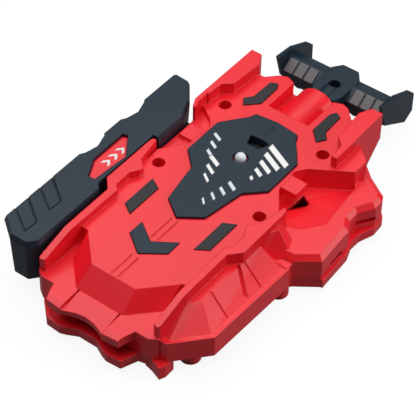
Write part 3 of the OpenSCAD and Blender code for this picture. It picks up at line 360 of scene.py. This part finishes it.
def flat_print(name, outlines, z, material, body):
    """Ink on a flat face at height z: thin tiles with the given outlines."""
    build = bmesh.new()
    for outline in outlines:
        bottom = [build.verts.new((x, y, z)) for x, y in outline]
        top = [build.verts.new((x, y, z + INK)) for x, y in outline]
        build.faces.new(top)
        build.faces.new(list(reversed(bottom)))
        count = len(outline)
        for i in range(count):
            j = (i + 1) % count
            build.faces.new((bottom[i], bottom[j], top[j], top[i]))
    bmesh.ops.recalc_face_normals(build, faces=build.faces)
    mesh = bpy.data.meshes.new(name)
    build.to_mesh(mesh)
    build.free()
    return new_piece(name, mesh, material, body)


def bar(left, right, rise, y, depth):
    """The corners of a bar from left to right that climbs by rise, from millimetres."""
    corners = ((left, y), (right, y + rise), (right, y + rise + depth), (left, y + depth))
    return [(corner_x * MM, corner_y * MM) for corner_x, corner_y in corners]


def graded_bars(count, left, right, rise, y, depth):
    """A row of bars that changes evenly. Each measure is the first bar's value and the step to the next."""
    return [
        bar(*(first + step * i for first, step in (left, right, rise, y, depth)))
        for i in range(count)
    ]


# Graded slanted bars on the top plate, round the pin, in millimetres from the launch axis
plate_low, plate_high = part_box("top_plate")

white_bars = graded_bars(
    5, left=(5.2, 0.9), right=(16.4, -1.5), rise=(-5.4, 1.1), y=(10.6, -4.3), depth=(2.7, -0.3),
) + graded_bars(
    3, left=(-9.5, 2.0), right=(-4.0, 1.1), rise=(-2.6, 0), y=(-7.0, -4.4), depth=(1.9, -0.3),
)
silver_bars = graded_bars(
    4, left=(4.4, -0.9), right=(8.6, -1.5), rise=(-2.2, 0), y=(-14.0, -4.1), depth=(1.7, -0.2),
) + graded_bars(
    3, left=(-15.6, 1.6), right=(-11.6, 1.2), rise=(-1.9, 0), y=(4.0, -4.4), depth=(1.5, 0),
)

flat_print("white_bars", white_bars, plate_high[2], print_white, "case")
flat_print("silver_bars", silver_bars, plate_high[2], print_silver, "case")


# Three plain arrowheads on the indicator plate, which point towards the handle
arrow_low, arrow_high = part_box("indicator_plate")
ARROWS = 3
ARROW_MARGIN_MM = 9
ARROW_PITCH_MM = 4.2
ARROW_HALF_MM = 1.7
ARROW_REACH_MM = 2.0
ARROW_STROKE_MM = 1.5


def turn_arrows():
    middle_x = (arrow_low[0] + arrow_high[0]) / 2
    half = ARROW_HALF_MM * MM
    reach = ARROW_REACH_MM * MM
    stroke = ARROW_STROKE_MM * MM
    outlines = []
    for i in range(ARROWS):
        y = arrow_low[1] + (ARROW_MARGIN_MM + ARROW_PITCH_MM * i) * MM
        outlines.append([
            (middle_x - half, y), (middle_x, y + reach), (middle_x + half, y),
            (middle_x + half, y + stroke), (middle_x, y + reach + stroke), (middle_x - half, y + stroke),
        ])
    return outlines


flat_print("turn_arrows", turn_arrows(), arrow_high[2], print_white, "selector")


def cord_piece():
    """The pull string from the spool to the knot, as a straight braided tube in place of the CAD string."""
    low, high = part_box("pull_string")
    radius = (high[0] - low[0]) / 2
    centre_z = (low[2] + high[2]) / 2
    rings = 60
    sides = 10
    turns = [math.tau * k / sides for k in range(sides)]
    build = bmesh.new()
    loops = []
    for i in range(rings + 1):
        y = low[1] + (high[1] - low[1]) * i / rings
        loops.append([
            build.verts.new((radius * math.cos(turn), y, centre_z + radius * math.sin(turn)))
            for turn in turns
        ])
    for a, b in zip(loops, loops[1:]):
        for k in range(sides):
            m = (k + 1) % sides
            build.faces.new((a[k], a[m], b[m], b[k]))
    build.faces.new(loops[0])
    build.faces.new(list(reversed(loops[-1])))
    bmesh.ops.recalc_face_normals(build, faces=build.faces)
    for face in build.faces:
        face.smooth = True
    mesh = bpy.data.meshes.new("pull_cord")
    build.to_mesh(mesh)
    build.free()
    piece = new_piece("pull_cord", mesh, cord_braid, None)
    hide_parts("pull_string")
    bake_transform(piece)


cord_piece()


def pin_coil_piece():
    """The pin's spring, which bears against the top plate, as a copy of the CAD spring carried with the
    case.
    """
    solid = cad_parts["pin_spring"]
    mesh = solid.data.copy()
    mesh.transform(solid.matrix_world)
    mesh.materials.clear()
    piece = new_piece("pin_coil", mesh, drawn_steel, "case")
    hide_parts("pin_spring")
    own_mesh(piece)


pin_coil_piece()

# Camera, at the photograph's viewing angle: its place in millimetres, its angles in degrees
CAMERA_AT = Vector((278.4, -401.0, 485.2)) * MM
CAMERA_AZIMUTH = 36.148
CAMERA_ELEVATION = 44.947
CAMERA_ROLL = 1.206
IMAGE_PIXELS = 416
FOCAL_PIXELS = 1800
SENSOR_MM = 36
CLIP_NEAR = 0.01
CLIP_FAR = 20


def photograph_camera():
    azimuth = math.radians(CAMERA_AZIMUTH)
    elevation = math.radians(CAMERA_ELEVATION)
    roll = math.radians(CAMERA_ROLL)
    look = Vector((
        -math.sin(azimuth) * math.cos(elevation),
        math.cos(azimuth) * math.cos(elevation),
        -math.sin(elevation),
    ))
    level = Vector((math.cos(azimuth), math.sin(azimuth), 0))
    upright = level.cross(look)
    right = math.cos(roll) * level + math.sin(roll) * upright
    up = -math.sin(roll) * level + math.cos(roll) * upright
    data = bpy.data.cameras.new("camera")
    data.sensor_width = SENSOR_MM
    data.sensor_fit = "HORIZONTAL"
    data.lens = data.sensor_width * FOCAL_PIXELS / IMAGE_PIXELS
    data.clip_start = CLIP_NEAR
    data.clip_end = CLIP_FAR
    camera = bpy.data.objects.new("camera", data)
    turn = Matrix((right, up, -look)).transposed().to_4x4()
    camera.matrix_world = Matrix.Translation(CAMERA_AT) @ turn
    bpy.context.scene.collection.objects.link(camera)
    bpy.context.scene.camera = camera


photograph_camera()

# How strongly the floor glows for the camera, and for mirrored rays as a share of that
FLOOR_GLOW = 0.91
MIRRORED_SHARE = 0.2
FLOOR_HALF = 6.0


def backdrop_material():
    """Pale paper that the camera sees as white and mirrors see faintly. It keeps the object's shadow."""
    material, tree, shader = new_material("pale paper floor")
    shader.inputs["Base Color"].default_value = linear(BACKDROP)
    shader.inputs["Roughness"].default_value = 0.9
    rays = add(tree, "ShaderNodeLightPath")
    mirrored = add(tree, "ShaderNodeMath", {"operation": "MAXIMUM"},
                   i0=rays.outputs["Is Glossy Ray"], i1=rays.outputs["Is Transmission Ray"])
    faint = add(tree, "ShaderNodeMath", {"operation": "MULTIPLY"}, i0=mirrored.outputs[0], i1=MIRRORED_SHARE)
    seen = add(tree, "ShaderNodeMath", {"operation": "MAXIMUM"},
               i0=rays.outputs["Is Camera Ray"], i1=faint.outputs[0])
    glow = add(tree, "ShaderNodeMath", {"operation": "MULTIPLY"}, i0=seen.outputs[0], i1=FLOOR_GLOW)
    shader.inputs["Emission Color"].default_value = WHITE
    tree.links.new(glow.outputs[0], shader.inputs["Emission Strength"])
    return material


def floor():
    """A square of paper under the feet."""
    low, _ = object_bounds()
    mesh = bpy.data.meshes.new("floor")
    corners = [(-1, -1), (1, -1), (1, 1), (-1, 1)]
    mesh.from_pydata([(x * FLOOR_HALF, y * FLOOR_HALF, low[2]) for x, y in corners], [], [(0, 1, 2, 3)])
    piece = bpy.data.objects.new("floor", mesh)
    bpy.context.scene.collection.objects.link(piece)
    piece.data.materials.append(backdrop_material())
    piece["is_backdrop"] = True


floor()


def soft_light(name, at, size, power):
    """A round area light that faces the origin: place and size in metres, power in watts."""
    data = bpy.data.lights.new(name, "AREA")
    data.shape = "DISK"
    data.size = size
    data.energy = power
    lamp = bpy.data.objects.new(name, data)
    lamp.location = at
    lamp.rotation_euler = (Vector((0, 0, 0)) - Vector(at)).to_track_quat("-Z", "Y").to_euler()
    bpy.context.scene.collection.objects.link(lamp)


soft_light("overhead light", at=(-0.17, 0.06, 0.98), size=1.65, power=14.2)
soft_light("side light", at=(0.83, 0.44, 0.36), size=0.65, power=4.0)

WORLD_LEVEL = 0.03


def studio_world():
    """A dim white room, which the camera sees as plain white."""
    world = bpy.data.worlds.new("studio")
    world.use_nodes = True
    tree = world.node_tree
    tree.nodes.clear()
    rays = add(tree, "ShaderNodeLightPath")
    dim = add(tree, "ShaderNodeBackground", Color=WHITE, Strength=WORLD_LEVEL)
    white = add(tree, "ShaderNodeBackground", Color=WHITE, Strength=1.0)
    mixed = add(tree, "ShaderNodeMixShader",
                i0=rays.outputs["Is Camera Ray"], i1=dim.outputs[0], i2=white.outputs[0])
    output = tree.nodes.new("ShaderNodeOutputWorld")
    tree.links.new(mixed.outputs[0], output.inputs[0])
    bpy.context.scene.world = world


studio_world()
bpy.context.scene.view_settings.view_transform = "Standard"
